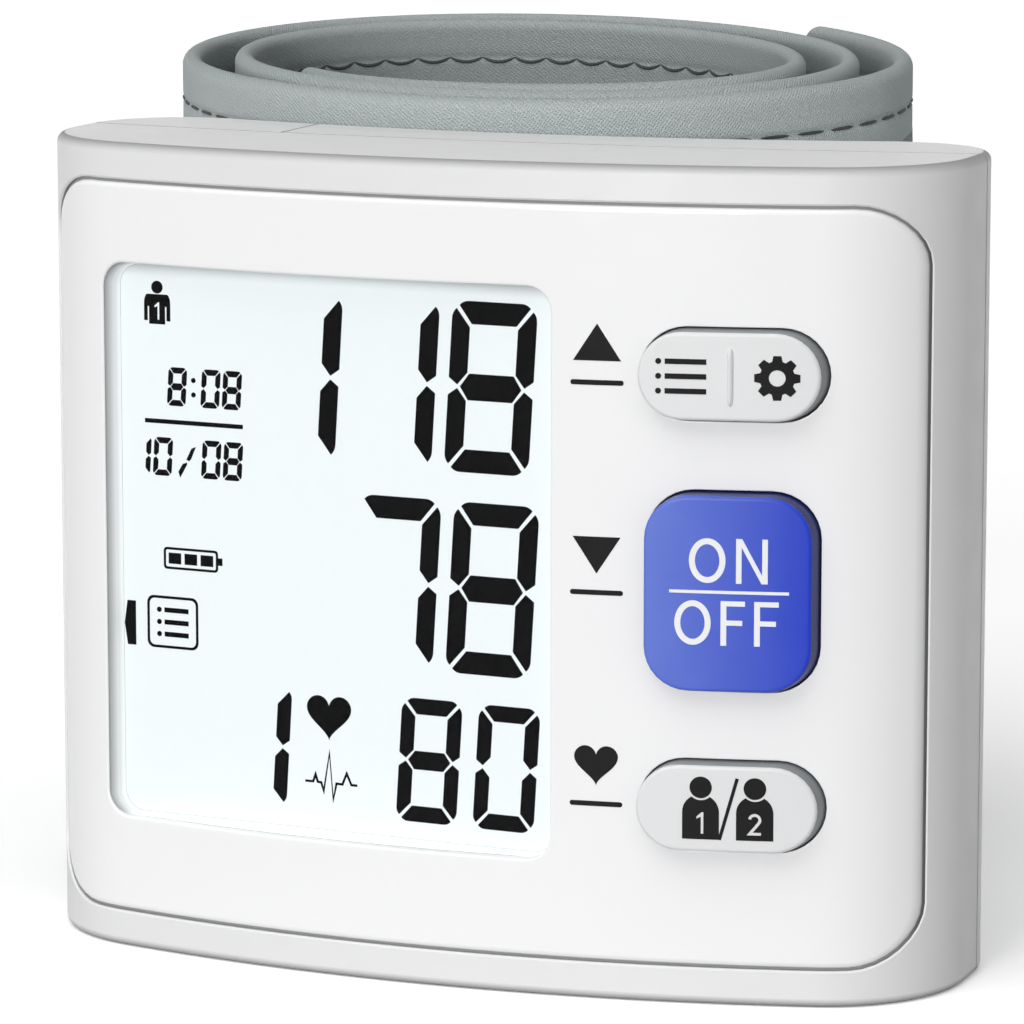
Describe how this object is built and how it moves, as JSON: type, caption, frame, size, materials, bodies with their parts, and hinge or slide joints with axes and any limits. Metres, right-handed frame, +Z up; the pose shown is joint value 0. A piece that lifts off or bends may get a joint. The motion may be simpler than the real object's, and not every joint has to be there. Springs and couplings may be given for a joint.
{
  "type": "wrist blood pressure monitor",
  "caption": "Wrist blood pressure monitor with a curved front, tilted display, start key, rocker key, lower key, battery door and a padded cuff coiled behind the case.",
  "frame": {"origin": "under the middle of the whole object, on the surface it stands on", "axes": "+X to the right of someone facing the display, +Z up; the display faces -Y and the cuff lies towards +Y"},
  "size_m": [0.0826, 0.0796, 0.0715],
  "materials": {
    "shell": "satin",
    "fascia": "gloss",
    "lens": "clear",
    "lcd": "satin",
    "key_grey": "satin",
    "key_blue": "satin",
    "dark_plastic": "matte",
    "pale_plastic": "matte",
    "board": "satin",
    "steel": "satin",
    "nickel": "satin",
    "cell": "satin",
    "rubber": "matte",
    "hose": "matte",
    "cloth": "matte",
    "film": "satin",
    "patch": "matte"
  },
  "bodies": {
    "case": {"front_shell": "shell", "fascia": "fascia", "rear_shell": "shell", "display_lens": "lens", "lcd_panel": "lcd", "lcd_tray": "pale_plastic", "zebra_strip": "rubber", "main_board": "board", "board_screw_1": "steel", "board_screw_2": "steel", "switch_memory": "dark_plastic", "switch_set": "dark_plastic", "switch_start": "dark_plastic", "switch_user": "dark_plastic", "controller_chip": "dark_plastic", "buzzer": "dark_plastic", "pressure_sensor": "dark_plastic", "battery_cradle": "pale_plastic", "battery_1": "cell", "battery_2": "cell", "contact_bridge": "nickel", "contact_positive": "nickel", "contact_negative": "nickel", "contact_spring_1": "steel", "contact_spring_2": "steel", "pump_motor": "steel", "pump_head": "dark_plastic", "bleed_valve": "steel", "air_manifold": "pale_plastic", "air_nozzle": "pale_plastic", "air_tube_pump": "hose", "air_tube_valve": "hose", "air_tube_sensor": "hose", "cuff_saddle": "shell", "case_screw_1": "steel", "case_screw_2": "steel", "case_screw_3": "steel", "case_screw_4": "steel", "cuff_band": "cloth", "cuff_bladder": "film", "cuff_shaper": "film", "loop_patch": "patch"},
    "rocker": {"mem_set_key": "key_grey"},
    "start": {"start_key": "key_blue"},
    "user": {"user_key": "key_grey"},
    "door": {"battery_door": "shell"},
    "flap": {"cuff_flap": "cloth", "hook_patch": "patch"}
  },
  "joints": [
    {"name": "start_press", "type": "slide", "parent": "case", "child": "start", "axis": [0, 1, 0], "range_m": [0, 0.0006], "stiffness_N_per_m": 1000},
    {"name": "user_press", "type": "slide", "parent": "case", "child": "user", "axis": [0, 1, 0], "range_m": [0, 0.0006], "stiffness_N_per_m": 1000},
    {"name": "rocker_tilt", "type": "hinge", "parent": "case", "child": "rocker", "pos_m": [0.026, -0.03603, 0.04995], "axis": [0, 0, 1], "range_deg": [-3, 3], "stiffness_Nm_per_rad": 0.05},
    {"name": "door_slide", "type": "slide", "parent": "case", "child": "door", "axis": [-0.9735, 0.2288, 0], "range_m": [0, 0.024]},
    {"name": "flap_open", "type": "hinge", "parent": "case", "child": "flap", "pos_m": [0.01597, -0.0067, 0], "axis": [0, 0, -1], "range_deg": [0, 45], "stiffness_Nm_per_rad": 0.02}
  ]
}
